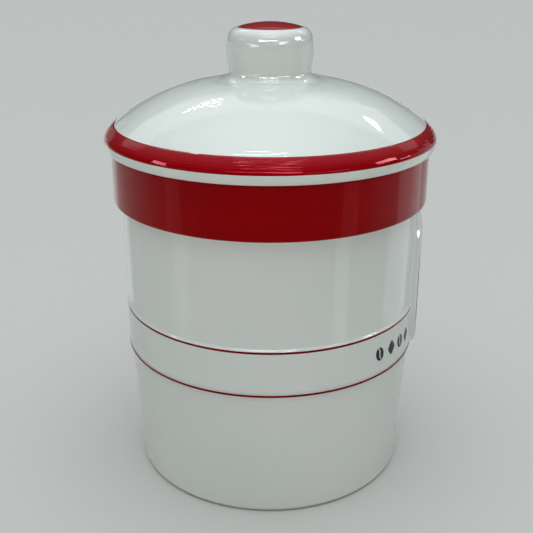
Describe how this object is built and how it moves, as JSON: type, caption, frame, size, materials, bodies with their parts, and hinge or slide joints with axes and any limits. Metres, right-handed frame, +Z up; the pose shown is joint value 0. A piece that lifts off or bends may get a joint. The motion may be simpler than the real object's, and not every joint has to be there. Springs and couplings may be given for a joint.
{
  "type": "storage canister",
  "caption": "Round ceramic kitchen canister with a lift-off domed lid, a raised collar, a banded wall and a blunt oval plaque.",
  "frame": {"origin": "centre of the foot, on the surface the canister stands on", "axes": "+Z up along the axis of the jar, -Y towards the front, where the raised plaque is"},
  "size_m": [0.144, 0.144, 0.2011],
  "materials": {
    "jar_glaze": "glossy cream glaze",
    "lid_glaze": "glossy cream glaze",
    "collar_enamel": "glossy deep red fired enamel",
    "lid_enamel": "glossy red fired enamel",
    "pinstripe_enamel": "dark red fired line",
    "seal_rubber": "matte translucent white silicone"
  },
  "bodies": {
    "jar": {"jar_body": "jar_glaze", "collar_enamel": "collar_enamel", "upper_pinstripe": "pinstripe_enamel", "lower_pinstripe": "pinstripe_enamel"},
    "seal": {"lid_seal": "seal_rubber"},
    "lid": {"lid_shell": "lid_glaze", "shoulder_enamel": "lid_enamel", "knob_cap_enamel": "lid_enamel"}
  },
  "joints": [
    {"name": "lid_lift", "type": "slide", "parent": "jar", "child": "seal", "axis": [0, 0, 1], "range_m": [0, 0.12]},
    {"name": "lid_turn", "type": "hinge", "parent": "seal", "child": "lid", "pos_m": [0, 0, 0.15], "axis": [0, 0, 1], "continuous": true}
  ]
}
